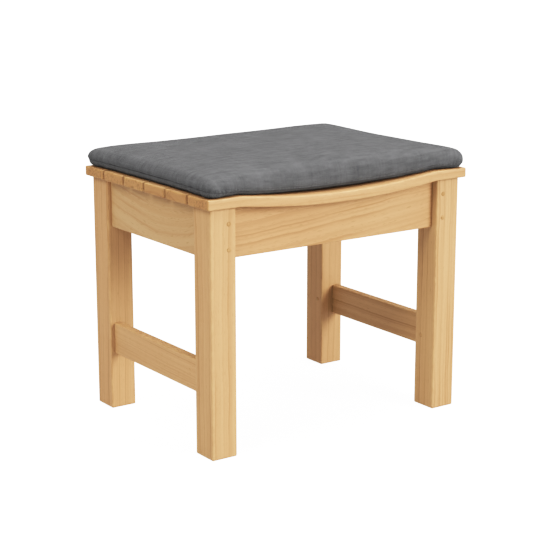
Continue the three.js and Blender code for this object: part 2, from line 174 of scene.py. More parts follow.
# Oak marks: the range of the noise or season over which each shows, and what that becomes
RING_STRENGTH = (0.25, 1.0, 0.06, 1.25)
LATE_RISE = (0.30, 0.92)
LATE_END = (0.93, 1.0, 1.0, 0.0)
RING_FADE = (0.32, 0.68, 0.25, 1.25)
FLUSH_RISE = (0.42, 0.66)
PORE_RISE = (0.62, 0.74)
PORE_SEASON = (0.05, 0.55, 1.0, 0.25)
SPECK_RISE = (0.54, 0.62)
GATHER_RISE = (0.38, 0.56)
RUBBED_HIGHLIGHT_RISE = (0.35, 0.7)

# Oak marks: how strongly each one shows
RIPPLE_REACH = 0.0012
UNEVEN_YEARS = 2.2
BAND_SHARE = 0.80
FIBRE_SHARE = 0.45
PATCH_SHARE = 0.50
DEEP_SHARE = 0.20
FLUSH_SHARE = 0.45
TINT_SHARE = 0.6
PORE_SHARE = 0.24
SPECK_SHARE = 0.52
RUBBED_HIGHLIGHT_SHARE = 0.5

# Cloth marks: repeats in a metre along and across the cushion, how far yarns drift, and how strongly the
# yarns' own tints, slubs, clouds, broad marks, streaks and cross marks show
BROAD_REPEAT = (34.0, 100.0, 1.0)
STREAK_REPEAT = (60.0, 230.0, 1.0)
CROSS_REPEAT = (300.0, 90.0, 1.0)
SLUB_REPEAT = 260.0
CLOUD_REPEAT = 16.0
DRIFT_REPEAT = 24.0
DRIFT_REACH = 0.0022
MARK_SHARES = (0.22, 0.24, 0.36, 0.50, 0.26, 0.22)

# Colours: oak, its pores and end faces, the brown that oak throws on its neighbours, hardwood, cloth, steel,
# and the pale laid on rounds (rubbing and painted highlight)
PALE = (0.80, 0.505, 0.272)
WARM = (0.735, 0.430, 0.228)
DEEP = (0.585, 0.325, 0.160)
SIDE_PALE = (0.735, 0.490, 0.272)
SIDE_WARM = (0.68, 0.425, 0.228)
PORE = (0.30, 0.165, 0.065)
FRAME_END = (0.80, 0.74, 0.66)
SLAT_END = (0.82, 0.75, 0.66)
# Pale laid on the rounds: partly rubbing from use, partly a painted highlight
EDGE_WEAR_AND_HIGHLIGHT = (1.0, 0.93, 0.80, 1.0)
BOUNCE = (0.46, 0.40, 0.33, 1)
PEG_WOOD = ((0.74, 0.46, 0.24), (0.60, 0.35, 0.165), (0.52, 0.29, 0.13), (0.95, 0.92, 0.88))
HARDWOOD = ((0.68, 0.44, 0.24), (0.62, 0.38, 0.20), (0.52, 0.31, 0.15), (0.8, 0.75, 0.7))
COVER_YARN = (0.222, 0.222, 0.224)
# The darker colours between yarns, for the cover and the seam, are painted shade
COVER_GAP_SHADE = (0.068, 0.068, 0.069)
# The seam's yarn is darker than the cover's: painted shade along the crease at the seam
SEAM_SHADE_YARN = (0.150, 0.150, 0.152)
SEAM_GAP_SHADE = (0.050, 0.050, 0.051)
DULL_ZINC = (0.42, 0.42, 0.43, 1)
BRIGHT_ZINC = (0.60, 0.60, 0.58, 1)

# Camera: a long lens, where it stands and the turns that aim it
LENS = 101.62
CAMERA_PLACE = (-1.56266, -2.22966, 0.90723)
CAMERA_YAW = 0.61131
CAMERA_PITCH = 0.23972

# Studio: suns by direction, strength and softness, then the surround, the sweep, and the print curve
# from scene light to shown light
SUNS = (("key", (0.55, -1.0, 0.42), 1.95, 30), ("side", (-1.0, -0.3, 1.0), 1.15, 30),
        ("overhead", (0.10, 0.12, 1.0), 1.7, 40))
SURROUND = 0.35
FLOOR_HALF = 30
FLOOR_GREY = (0.25, 0.25, 0.25, 1)
FLOOR_BOUNCE = 0.38
FLOOR_GLOW = 1.5
WHITE_LEVEL = 1.70
PRINT_CURVE = ((0.06, 0.026), (0.12, 0.072), (0.16, 0.107), (0.223, 0.178), (0.288, 0.258), (0.394, 0.386),
               (0.509, 0.509), (0.633, 0.617), (0.812, 0.737), (1.10, 0.86), (1.40, 0.95))
WHITE = (1, 1, 1, 1)


# ---------------- seat line

def seat_line(x, below=0.0):
    """Height of the line that runs `below` under the slat tops: level past the knee, a rounded knee,
    then a long shallow arc. Each stretch is an arc offset by `below`, so the slats keep their thickness."""
    x = np.abs(np.asarray(x, float))
    flat = np.full_like(x, SEAT_HEIGHT) - below
    knee_reach = np.clip((KNEE_RADIUS - below) ** 2 - (KNEE_X - x) ** 2, 0, None)
    knee = SEAT_HEIGHT - KNEE_RADIUS + np.sqrt(knee_reach)
    dish_reach = np.clip((DISH_RADIUS + below) ** 2 - x ** 2, 0, None)
    dish = SEAT_HEIGHT - DISH_DEPTH + DISH_RADIUS - np.sqrt(dish_reach)
    dish_end = (DISH_RADIUS + below) * math.sin(LEAN)
    return np.where(x >= KNEE_X, flat, np.where(x > dish_end, knee, dish))


# ---------------- mesh making

def tube_faces(rings, sides):
    """Quads between neighbouring rings of a tube, and one many-sided face closing each end."""
    here = np.arange(rings * sides).reshape(rings, sides)
    beside = np.roll(here, -1, axis=1)
    quads = np.stack([here[:-1], beside[:-1], beside[1:], here[1:]], axis=-1).reshape(-1, 4)
    return quads.tolist() + [here[0][::-1].tolist(), here[-1].tolist()]


def put_mesh(name, points, faces, smooth=True, **notes):
    """A mesh object at the origin; each note is a vector kept per vertex under its own name."""
    mesh = bpy.data.meshes.new(name)
    mesh.from_pydata(points.reshape(-1, 3).tolist(), [], faces)
    mesh.validate()
    mesh.polygons.foreach_set("use_smooth", np.full(len(mesh.polygons), smooth))
    for label, values in notes.items():
        keep_note(mesh, label, values)
    mesh.update()
    piece = bpy.data.objects.new(name, mesh)
    bpy.context.scene.collection.objects.link(piece)
    return piece


def keep_note(mesh, label, values):
    """Keeps a vector per vertex under a name that a finish reads."""
    attribute = mesh.attributes.new(label, "FLOAT_VECTOR", "POINT")
    attribute.data.foreach_set("vector", values.astype(np.float32).ravel())


WAYS = {
    "x": np.array([[1, 0, 0], [0, 1, 0], [0, 0, 1]], float),
    "y": np.array([[0, 1, 0], [-1, 0, 0], [0, 0, 1]], float),
    "z": np.array([[0, 0, 1], [1, 0, 0], [0, 1, 0]], float),
}


def eased_outline(width, height, arris):
    """Outline of a rectangle with quarter-round corners: centre of the round + radius × outward direction.
    Gives the centres, the directions, and how much each point lies on a round, 1 on the rounds and 0 on the
    flats; the rounds are later lightened, partly as rubbing and partly as painted highlight."""
    guard = min(EDGE_GUARD, 0.4 * (min(width, height) - 2 * arris))
    corner = np.arange(4)[:, None] * math.pi / 2
    turn = corner + np.radians([0, 0, 22.5, 45, 67.5, 90, 90])
    slide = np.array([-guard, 0, 0, 0, 0, 0, guard])
    edge_round = np.tile([0, HALF_ROUND, 1, 1, 1, HALF_ROUND, 0], 4)
    signs = np.sign(np.stack([np.cos(corner + math.pi / 4), np.sin(corner + math.pi / 4)], -1))
    centre = signs * [width / 2 - arris, height / 2 - arris]
    travel = np.stack([-np.sin(turn), np.cos(turn)], -1)
    outward = np.stack([np.cos(turn), np.sin(turn)], -1)
    centre = centre + slide[:, None] * travel
    return centre.reshape(-1, 2), outward.reshape(-1, 2), edge_round


def board_skin(length, width, height, arris, step):
    """Rings of a straight board from 0 to length: the eased outline at each station, drawn in by a quarter
    round at both ends, with a smaller ring on each end face. Gives points, edge rounding and end grain."""
    centre, outward, edge_round = eased_outline(width, height, arris)
    reach = END_ARRIS_SHARE * arris
    turn = np.radians([90, 60, 30, 0])
    rise = reach * (1 - np.sin(turn))
    inset = reach * (1 - np.cos(turn))
    inner = np.linspace(reach + EDGE_GUARD, length - reach - EDGE_GUARD, max(2, int(length / step)))
    along = np.concatenate([rise, inner, length - rise[::-1]])
    insets = np.concatenate([inset, np.zeros(len(inner)), inset[::-1]])
    rings = centre + (arris - insets[:, None, None]) * outward
    shrink = 1 - EDGE_GUARD / np.array([width / 2, height / 2])
    rings = np.concatenate([rings[:1] * shrink, rings, rings[-1:] * shrink])
    along = np.concatenate([along[:1], along, along[-1:]])
    end_round = np.concatenate([[0, 1, 1, 1, HALF_ROUND], np.zeros(len(inner)), [HALF_ROUND, 1, 1, 1, 0]])
    end_grain = np.concatenate([[1], np.sin(turn), np.zeros(len(inner)), np.sin(turn)[::-1], [1]])
    points = np.empty((len(along), len(centre), 3))
    points[..., 0] = along[:, None]
    points[..., 1:] = rings
    side_round = np.tile(edge_round, (len(along), 1))
    side_round[[0, -1]] = 0
    return points, np.maximum(end_round[:, None], side_round), np.repeat(end_grain[:, None], len(centre), 1)


def grain_note(points, way, middle, cut):
    """Where each point lay in its tree: along the trunk, then across and up from the pith. The trunk leans
    by `lean`, bows by `bow` × along², and `pith` is the pith's place behind the board's middle."""
    grain = (points - middle) @ WAYS[way].T
    along = grain[..., :1].copy()
    pith, lean, bow = (np.array(cut[part]) for part in ("pith", "lean", "bow"))
    grain[..., 1:] -= pith + lean * along + bow * along ** 2
    grain[..., 1:] *= cut["scale"]
    grain[..., 0] += cut["start"]
    return grain


def cut_of(pith, lean=(0.0, 0.0), bow=(0.0, 0.0), scale=1.0, warmth=0.3):
    """How a board was sawn from its tree, with a seeded start along the trunk and a seeded tint."""
    return {"pith": pith, "lean": lean, "bow": bow, "scale": scale,
            "start": chance.uniform(*TRUNK_START), "tint": warmth + chance.uniform(-TINT_SPREAD, TINT_SPREAD)}


def make_board(name, low, high, way, arris, cut, shape=None, step=0.012):
    """A board that fills the box from low to high with its grain along `way`, then moved by `shape`."""
    low, high = np.array(low, float), np.array(high, float)
    axes = WAYS[way]
    size = np.abs(axes @ (high - low))
    middle = (low + high) / 2
    local, wear, end_grain = board_skin(size[0], size[1], size[2], arris, step)
    points = middle - axes[0] * size[0] / 2 + local @ axes
    if shape is not None:
        points = shape(points)
    finish = np.stack([wear, end_grain, np.full_like(wear, cut["tint"])], -1)
    grain = grain_note(points, way, middle, cut)
    return put_mesh(name, points, tube_faces(local.shape[0], local.shape[1]), grain=grain, finish=finish)


def turned(radii, heights, base, axis, sides):
    """Rings of a turned piece: the profile (radius, height) swept round the axis that leaves `base`."""
    axis = np.array(axis, float)
    side = np.array([0.0, 0.0, 1.0]) if abs(axis[2]) < 0.5 else np.array([1.0, 0.0, 0.0])
    other = np.cross(axis, side)
    angle = np.linspace(0, 2 * math.pi, sides, endpoint=False)
    around = np.cos(angle)[:, None] * side + np.sin(angle)[:, None] * other
    spine = np.array(base) + np.array(heights)[:, None, None] * axis
    return spine + np.array(radii)[:, None, None] * around


# ---------------- shader making

def lay(tree, kind, **options):
    """Adds a shader node and sets its options by name."""
    node = tree.nodes.new("ShaderNode" + kind)
    for label, value in options.items():
        setattr(node, label, value)
    return node


def fill(node, values):
    """Sets a node's own values by socket name."""
    for label, value in values.items():
        node.inputs[label].default_value = value


def feed(tree, socket, value):
    """Links a socket to another, or sets its own value."""
    if isinstance(value, bpy.types.NodeSocket):
        tree.links.new(value, socket)
    else:
        socket.default_value = value


def calc(tree, operation, *values, clamp=False):
    """One Math node and its result."""
    node = lay(tree, "Math", operation=operation, use_clamp=clamp)
    for socket, value in zip(node.inputs, values):
        feed(tree, socket, value)
    return node.outputs[0]


def times(tree, value, share):
    """One value times another."""
    return calc(tree, "MULTIPLY", value, share)


def weigh(tree, value, share, onto, clamp=False):
    """A value times a share, added onto another."""
    return calc(tree, "MULTIPLY_ADD", value, share, onto, clamp=clamp)


def centred(tree, value):
    """Noise from 0 to 1 made to swing about zero."""
    return calc(tree, "SUBTRACT", value, 0.5)


def remap(tree, value, low, high, to_low=0.0, to_high=1.0, smooth=True):
    """Stretches a value from one range to another, with soft ends unless told otherwise."""
    node = lay(tree, "MapRange", interpolation_type="SMOOTHSTEP" if smooth else "LINEAR")
    for socket, given in zip(node.inputs, (value, low, high, to_low, to_high)):
        feed(tree, socket, given)
    return node.outputs[0]


def split(tree, vector):
    """The three parts of a vector."""
    node = lay(tree, "SeparateXYZ")
    feed(tree, node.inputs[0], vector)
    return tuple(node.outputs)


def repeats(tree, parts, rates, shifts=(0.0, 0.0, 0.0)):
    """A place for noise: each part of a vector times its repeats in a metre, plus its shift."""
    node = lay(tree, "CombineXYZ")
    for socket, part, rate, shift in zip(node.inputs, parts, rates, shifts):
        feed(tree, socket, weigh(tree, part, rate, shift))
    return node.outputs[0]


def noise(tree, vector, detail=2.0, scale=1.0):
    """Soft noise from 0 to 1 at a vector."""
    node = lay(tree, "TexNoise", noise_dimensions="3D")
    feed(tree, node.inputs["Vector"], vector)
    fill(node, {"Scale": scale, "Detail": detail, "Roughness": 0.5})
    return node.outputs[0]


def noise_line(tree, value, detail=1.0):
    """Soft noise from 0 to 1 along a line."""
    node = lay(tree, "TexNoise", noise_dimensions="1D")
    feed(tree, node.inputs["W"], value)
    fill(node, {"Scale": 1.0, "Detail": detail})
    return node.outputs[0]


def dice(tree, value):
    """A random value from 0 to 1 that is the same for the same number."""
    node = lay(tree, "TexWhiteNoise", noise_dimensions="1D")
    feed(tree, node.inputs["W"], value)
    return node.outputs["Value"]


def blend_colour(tree, share, under, over, way="MIX"):
    """One colour laid over another by a share."""
    node = lay(tree, "Mix", data_type="RGBA", blend_type=way)
    for number, value in ((0, share), (6, under), (7, over)):
        feed(tree, node.inputs[number], value)
    return node.outputs[2]


def blend_value(tree, share, under, over):
    """One value laid over another by a share."""
    node = lay(tree, "Mix", data_type="FLOAT")
    for number, value in ((0, share), (2, under), (3, over)):
        feed(tree, node.inputs[number], value)
    return node.outputs[0]


def new_group(name, inputs, outputs):
    """An empty shader group with named sockets. Gives the tree, its given values and its result sockets."""
    tree = bpy.data.node_groups.new(name, "ShaderNodeTree")
    kinds = {"colour": "NodeSocketColor", "value": "NodeSocketFloat", "vector": "NodeSocketVector"}
    for label, kind, value in inputs:
        socket = tree.interface.new_socket(label, in_out="INPUT", socket_type=kinds[kind])
        socket.default_value = value
    for label, kind in outputs:
        tree.interface.new_socket(label, in_out="OUTPUT", socket_type=kinds[kind])
    given = tree.nodes.new("NodeGroupInput").outputs
    result = tree.nodes.new("NodeGroupOutput").inputs
    return tree, given, result


def new_material(name):
    """A material with a Principled shader, and its tree."""
    material = bpy.data.materials.new(name)
    material.use_nodes = True
    return material, material.node_tree, material.node_tree.nodes["Principled BSDF"]


def note(tree, label):
    """The vector that a piece keeps under that name."""
    return lay(tree, "Attribute", attribute_name=label).outputs["Vector"]


def surface(tree, shader, colour, roughness, height, depth, strength):
    """Feeds a Principled shader its colour and roughness, and its normal from a height."""
    bump = lay(tree, "Bump")
    fill(bump, {"Strength": strength, "Distance": depth})
    feed(tree, bump.inputs["Height"], height)
    feed(tree, shader.inputs["Base Color"], colour)
    feed(tree, shader.inputs["Roughness"], roughness)
    feed(tree, shader.inputs["Normal"], bump.outputs[0])


# ---------------- finishes

def pith_distance(tree, trunk, tint, sway):
    """How far a point is from the pith: √(across² + up²), pushed by a slow sway and a brisk ripple."""
    along, across, up = trunk
    slow = noise(tree, repeats(tree, trunk, SWAY_REPEAT, (times(tree, tint, 37.0), 0.0, 0.0)))
    slow = times(tree, centred(tree, slow), sway)
    brisk = noise(tree, repeats(tree, trunk, RIPPLE_REPEAT), 1.0)
    push = weigh(tree, slow, 2.0, times(tree, centred(tree, brisk), RIPPLE_REACH))
    squares = weigh(tree, across, across, times(tree, up, up))
    return calc(tree, "ADD", calc(tree, "SQRT", squares), push)


def growth_rings(tree, trunk, distance, shifted, ring_width):
    """Growth rings: distance / ring width, made uneven by noise. In each ring the late wood deepens slowly,
    ends sharply and has its own strength, and it fades in and out. Gives the season and the late wood."""
    years = calc(tree, "DIVIDE", distance, ring_width)
    years = weigh(tree, noise_line(tree, times(tree, shifted, UNEVEN_REPEAT)), UNEVEN_YEARS, years)
    season = calc(tree, "FRACT", years)
    strength = remap(tree, dice(tree, calc(tree, "FLOOR", years)), *RING_STRENGTH, smooth=False)
    late = times(tree, remap(tree, season, *LATE_RISE), remap(tree, season, *LATE_END))
    fade = noise(tree, repeats(tree, trunk, FADE_REPEAT, (3.0, 0.0, 0.0)), 1.0)
    return season, times(tree, times(tree, late, strength), remap(tree, fade, *RING_FADE))


def sawn_faces(tree, given, trunk, tint, shifted, late, fibre):
    """Colour of the long faces: pale and warm oak in slow flushes, deepened by late wood, bands, fibres and
    cloudy patches."""
    bands = centred(tree, noise_line(tree, times(tree, shifted, BAND_REPEAT), 3.0))
    patch = centred(tree, noise(tree, repeats(tree, trunk, PATCH_REPEAT)))
    tone = times(tree, late, given["Ring Depth"])
    tone = weigh(tree, bands, BAND_SHARE, tone)
    tone = weigh(tree, fibre, FIBRE_SHARE, tone)
    tone = weigh(tree, patch, PATCH_SHARE, tone)
    tone = calc(tree, "ADD", tone, DEEP_SHARE, clamp=True)
    flush = remap(tree, noise(tree, repeats(tree, trunk, FLUSH_REPEAT, (0.0, 5.0, 0.0))), *FLUSH_RISE)
    flush = weigh(tree, flush, FLUSH_SHARE, times(tree, tint, TINT_SHARE), clamp=True)
    base = blend_colour(tree, flush, given["Pale"], given["Warm"])
    return blend_colour(tree, tone, base, given["Deep"])


def end_faces(tree, given, trunk, colour):
    """Colour of the end faces: the long faces' colour times the end colour, with gathered open specks."""
    specks = remap(tree, noise(tree, repeats(tree, trunk, SPECK_REPEAT), 1.0), *SPECK_RISE)
    gather = remap(tree, noise(tree, given["Grain"], 1.0, GATHER_REPEAT), *GATHER_RISE)
    specks = times(tree, specks, times(tree, gather, SPECK_SHARE))
    ends = blend_colour(tree, 1.0, colour, given["End Colour"], "MULTIPLY")
    return blend_colour(tree, specks, ends, given["Pore Colour"])


def rubbed_and_highlit_edges(tree, given, edge_round, colour):
    """Lightens the rounded edges in patches: partly rubbing from use, partly a painted highlight along the
    arrises.
    """
    lighter = blend_colour(tree, 0.5, colour, EDGE_WEAR_AND_HIGHLIGHT, "SOFT_LIGHT")
    patchy = remap(tree, noise(tree, given["Grain"], 2.0, RUBBED_HIGHLIGHT_REPEAT), *RUBBED_HIGHLIGHT_RISE)
    return blend_colour(tree, times(tree, edge_round, times(tree, patchy, RUBBED_HIGHLIGHT_SHARE)), colour, lighter)


def oak_figure():
    """Shader group for sawn oak. Growth rings are shells round the pith that sway and differ in width;
    fibres and pores are noise drawn out along the trunk, so end faces show arcs and specks."""
    tree, given, result = new_group(
        "oak figure",
        [("Grain", "vector", (0, 0, 0)), ("Finish", "vector", (0, 0, 0)),
         ("Ring Width", "value", 0.005), ("Ring Depth", "value", 0.6), ("Sway", "value", 0.003),
         ("Pale", "colour", (*PALE, 1)), ("Warm", "colour", (*WARM, 1)), ("Deep", "colour", (*DEEP, 1)),
         ("Pore Colour", "colour", (*PORE, 1)), ("End Colour", "colour", (*FRAME_END, 1))],
        [("Colour", "colour"), ("Roughness", "value"), ("Height", "value")])
    trunk = split(tree, given["Grain"])
    edge_round, end_grain, tint = split(tree, given["Finish"])
    distance = pith_distance(tree, trunk, tint, given["Sway"])
    shifted = weigh(tree, tint, 3.7, distance)
    season, late = growth_rings(tree, trunk, distance, shifted, given["Ring Width"])
    fibre = centred(tree, noise(tree, repeats(tree, trunk, FIBRE_REPEAT), 3.0))
    pores = remap(tree, noise(tree, repeats(tree, trunk, PORE_REPEAT), 0.0), *PORE_RISE)
    pores = times(tree, pores, remap(tree, season, *PORE_SEASON))
    colour = sawn_faces(tree, given, trunk, tint, shifted, late, fibre)
    colour = blend_colour(tree, times(tree, pores, PORE_SHARE), colour, given["Pore Colour"])
    colour = blend_colour(tree, end_grain, colour, end_faces(tree, given, trunk, colour))
    feed(tree, result["Colour"], rubbed_and_highlit_edges(tree, given, edge_round, colour))
    rough = weigh(tree, pores, 0.16, 0.50)
    rough = weigh(tree, late, -0.07, rough)
    feed(tree, result["Roughness"], weigh(tree, fibre, 0.10, rough))
    height = weigh(tree, late, 0.25, times(tree, pores, -1.0))
    feed(tree, result["Height"], weigh(tree, fibre, 0.6, height))
    return tree


def oak(name, figure, rings, colours, grain=None, finish=None):
    """One oak finish under a thin satin oil: rings gives their width, depth and sway, colours the pale, warm,
    deep and end colours. Grain and finish are the piece's own notes unless they are given."""
    material, tree, shader = new_material(name)
    block = lay(tree, "Group", node_tree=figure)
    feed(tree, block.inputs["Grain"], grain(tree) if grain else note(tree, "grain"))
    feed(tree, block.inputs["Finish"], finish or note(tree, "finish"))
    fill(block, dict(zip(("Ring Width", "Ring Depth", "Sway"), rings)))
    fill(block, {label: (*colour, 1) for label, colour in
                 zip(("Pale", "Warm", "Deep", "End Colour", "Pore Colour"), (*colours, PORE))})
    bounced = lay(tree, "LightPath").outputs["Is Diffuse Ray"]
    shown = blend_colour(tree, bounced, block.outputs["Colour"], BOUNCE)
    surface(tree, shader, shown, block.outputs["Roughness"], block.outputs["Height"], 0.00025, 0.5)
    fill(shader, {"Specular IOR Level": 0.45})
    return material


def turned_grain(turn):
    """Grain from Object coordinates, with the trunk laid along the piece by a turn."""
    def place(tree):
        mapping = lay(tree, "Mapping")
        fill(mapping, {"Rotation": turn, "Location": (0.3, 0.06, 0.09)})
        feed(tree, mapping.inputs["Vector"], lay(tree, "TexCoord").outputs["Object"])
        return mapping.outputs[0]
    return place


def yarn_round(tree, yarn):
    """How high a yarn stands across its width: the sine of its share of a half turn."""
    return calc(tree, "SINE", times(tree, calc(tree, "FRACT", yarn), math.pi))


def weave():
    """Shader group for a plain weave: yarns of one pitch cross over and under like a chequer, each yarn a
    round ridge, with slubs along it and a tint of its own. Each yarn's colour falls from its crest toward the
    darker colour between yarns, painted shade down its sides and between the yarns."""
    tree, given, result = new_group(
        "plain weave",
        [("Cloth", "vector", (0, 0, 0)), ("Pitch", "value", YARN_PITCH),
         ("Yarn", "colour", (*COVER_YARN, 1)), ("Gap Shade", "colour", (*COVER_GAP_SHADE, 1))],
        [("Colour", "colour"), ("Height", "value"), ("Roughness", "value")])
    cloth = split(tree, given["Cloth"])
    drift = times(tree, centred(tree, noise(tree, given["Cloth"], 2.0, DRIFT_REPEAT)), DRIFT_REACH)
    warp = calc(tree, "DIVIDE", calc(tree, "ADD", cloth[0], drift), given["Pitch"])
    weft = calc(tree, "DIVIDE", calc(tree, "SUBTRACT", cloth[1], drift), given["Pitch"])
    warp_yarn = calc(tree, "FLOOR", warp)
    weft_yarn = calc(tree, "FLOOR", weft)
    over = calc(tree, "PINGPONG", calc(tree, "ADD", warp_yarn, weft_yarn), 1.0)
    warp_round = yarn_round(tree, warp)
    weft_round = yarn_round(tree, weft)
    warp_top = times(tree, warp_round, weigh(tree, weft_round, 0.45, 0.55))
    weft_top = times(tree, weft_round, weigh(tree, warp_round, 0.45, 0.55))
    ridge = blend_value(tree, over, warp_top, weft_top)
    tint = blend_value(tree, over, dice(tree, warp_yarn), dice(tree, calc(tree, "ADD", weft_yarn, 5000.5)))
    slub = noise(tree, given["Cloth"], 3.0, SLUB_REPEAT)
    cloud = noise(tree, given["Cloth"], 3.0, CLOUD_REPEAT)
    broad = noise(tree, repeats(tree, cloth, BROAD_REPEAT), 1.0)
    streak = noise(tree, repeats(tree, cloth, STREAK_REPEAT))
    cross = noise(tree, repeats(tree, cloth, CROSS_REPEAT))
    # Painted shade: each yarn is lightest on its crest and darkens toward its edges and between the yarns
    shade = weigh(tree, ridge, 0.62, 0.30)
    for mark, share in zip((tint, slub, cloud, broad, streak, cross), MARK_SHARES):
        shade = weigh(tree, centred(tree, mark), share, shade)
    shade = weigh(tree, over, 0.16, shade, clamp=True)
    feed(tree, result["Colour"], blend_colour(tree, shade, given["Gap Shade"], given["Yarn"]))
    feed(tree, result["Height"], weigh(tree, slub, 0.25, ridge))
    feed(tree, result["Roughness"], remap(tree, slub, 0.2, 0.8, 0.82, 0.96))
    return tree


def cushion_cloth(name, cloth_weave, yarn, gap_shade):
    """Grey woven cloth: soft, dry, with a little sheen from the fuzz."""
    material, tree, shader = new_material(name)
    block = lay(tree, "Group", node_tree=cloth_weave)
    feed(tree, block.inputs["Cloth"], note(tree, "cloth"))
    fill(block, {"Pitch": YARN_PITCH, "Yarn": (*yarn, 1), "Gap Shade": (*gap_shade, 1)})
    surface(tree, shader, block.outputs["Colour"], block.outputs["Roughness"], block.outputs["Height"],
            0.0005, 0.4)
    fill(shader, {"Sheen Weight": 0.03, "Sheen Roughness": 0.5, "Specular IOR Level": 0.08})
    return material


def screw_steel():
    """Zinc-plated steel with faint turning marks and a dull bloom."""
    material, tree, shader = new_material("screw steel")
    where = lay(tree, "TexCoord").outputs["Object"]
    bloom = noise(tree, where, 3.0, 420.0)
    marks = noise(tree, where, 1.0, 2600.0)
    colour = blend_colour(tree, remap(tree, bloom, 0.3, 0.7), DULL_ZINC, BRIGHT_ZINC)
    surface(tree, shader, colour, remap(tree, bloom, 0.25, 0.75, 0.28, 0.50), marks, 0.0001, 0.4)
    fill(shader, {"Metallic": 1.0})
    return material


# ---------------- timber

def dress(piece, material, slot, *nodes, body="frame"):
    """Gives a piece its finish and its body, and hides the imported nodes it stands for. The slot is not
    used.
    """
    piece.data.materials.append(material)
    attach(piece, body)
    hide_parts(*nodes)


def slat_shape(points):
    """Lays a straight slat on the seat line: each point keeps its depth under the slat top."""
    bent = points.copy()
    bent[..., 2] = seat_line(points[..., 0], SEAT_HEIGHT - points[..., 2])
    return bent


def apron_shape(low, high):
    """Cuts an apron's top edge to the seat line, with its bottom edge left straight."""
    def shape(points):
        bent = points.copy()
        share = np.clip((points[..., 2] - low) / (high - low) * 1.6 - 0.6, 0, 1)
        drop = high - np.minimum(seat_line(points[..., 0], SEAT_HEIGHT - high), high)
        bent[..., 2] -= share * drop
        return bent
    return shape


def between_posts(node, way):
    """A rail's packed box, less the tenons that lie inside the posts."""
    low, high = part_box(node)
    near_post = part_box("leg_front_left")[1]
    if way == "x":
        low.x, high.x = near_post.x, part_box("leg_front_right")[0].x
    else:
        low.y, high.y = near_post.y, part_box("leg_back_left")[0].y
    return low, high


def make_legs(material):
    """Four square posts, rift sawn, so both faces show straight narrow stripes."""
    for corner, (pith, lean, warmth) in LEG_CUTS.items():
        node = "leg_" + corner
        low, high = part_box(node)
        cut = cut_of(pith, lean, (0.02, 0.015), 0.9, warmth)
        leg = make_board(node + "_post", low, high, "z", LEG_ARRIS, cut, step=0.03)
        dress(leg, material, "oak_frame", node)


def make_aprons(material, calm):
    """Long aprons with a dished top edge and long swaying grain, side aprons with bowed grain."""
    cuts = {"front": cut_of((0.012, -0.13), (0.0, 0.085), (0.0, 0.16), 0.38, 0.75),
            "back": cut_of((-0.05, -0.16), (0.0, -0.03), (0.0, -0.12), 0.6, 0.6),
            "left": cut_of((-0.02, 0.16), (0.0, 0.02), (0.0, 1.15), 0.36, 0.0),
            "right": cut_of((0.04, 0.15), (0.0, -0.02), (0.0, -0.4), 0.6, 0.5)}
    for side, cut in cuts.items():
        node = "apron_" + side
        long = side in ("front", "back")
        way = "x" if long else "y"
        low, high = between_posts(node, way)
        shape = apron_shape(low.z, high.z) if long else None
        piece = make_board(node + "_board", low, high, way, BOARD_ARRIS, cut, shape, 0.01 if long else 0.02)
        dress(piece, material if long else calm, "oak_frame", node)


def make_stretchers(material):
    """Low side rails between the posts."""
    cuts = {"left": cut_of((0.05, 0.14), (0.0, 0.02), (0.0, 0.1), 0.7),
            "right": cut_of((-0.04, -0.12), (0.0, -0.02), (0.0, 0.1), 0.7)}
    for side, cut in cuts.items():
        node = "stretcher_" + side
        low, high = between_posts(node, "y")
        piece = make_board(node + "_rail", low, high, "y", BOARD_ARRIS, cut, step=0.03)
        dress(piece, material, "oak_frame", node)


def make_slats(material):
    """Seat slats sawn to the dish, each from its own board."""
    for number in range(1, SLAT_COUNT + 1):
        node = "slat_%d" % number
        low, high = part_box(node)
        low.z, high.z = SEAT_HEIGHT - SLAT_THICKNESS, SEAT_HEIGHT
        pith = (chance.uniform(-0.05, 0.05), -chance.uniform(0.05, 0.16))
        lean = (chance.uniform(-0.01, 0.01), chance.uniform(-0.02, 0.02))
        cut = cut_of(pith, lean, scale=0.8, warmth=chance.uniform(0.15, 0.6))
        piece = make_board(node + "_board", low, high, "x", SLAT_ARRIS, cut, slat_shape, step=0.008)
        dress(piece, material, "oak_slats", node)


def make_pegs(material):
    """Draw pegs: short turned pins with a softly domed end, standing a hair proud."""
    for node in sorted(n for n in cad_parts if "_peg_" in n):
        low, high = map(np.array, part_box(node))
        size = high - low
        way = int(np.argmax(size))
        middle = (low + high) / 2
        outward = np.sign(middle[way])
        axis = np.zeros(3)
        axis[way] = outward
        start = middle.copy()
        start[way] -= outward * size[way] / 2
        radius = np.delete(size, way).min() / 2
        heights = np.concatenate([[0, 0, radius * PEG_CHAMFER_SHARE], size[way] - PEG_DOME])
        points = turned(radius * PEG_RADII, heights, start, axis, PEG_SIDES)
        pith = [chance.uniform(*TRUNK_START), 0.03, 0.02]
        grain = (points - start)[..., [way, (way + 1) % 3, (way + 2) % 3]] + pith
        finish = np.zeros_like(points)
        finish[3:, :, 1] = 1.0
        finish[..., 2] = chance.uniform(0, 1)
        pin = put_mesh(node + "_pin", points, tube_faces(*points.shape[:2]), grain=grain, finish=finish)
        dress(pin, material, "oak_pegs", node)


def cross_recess(offset, head):
    """Depth of a cross recess: full where |x| or |y| lies inside a bar, near the middle of the head."""
    across = np.minimum(np.abs(offset[..., 0]), np.abs(offset[..., 1]))
    reach = np.hypot(offset[..., 0], offset[..., 1])
    return np.where((across < RECESS_BAR * head) & (reach < RECESS_REACH * head), RECESS_DEPTH, 0.0)


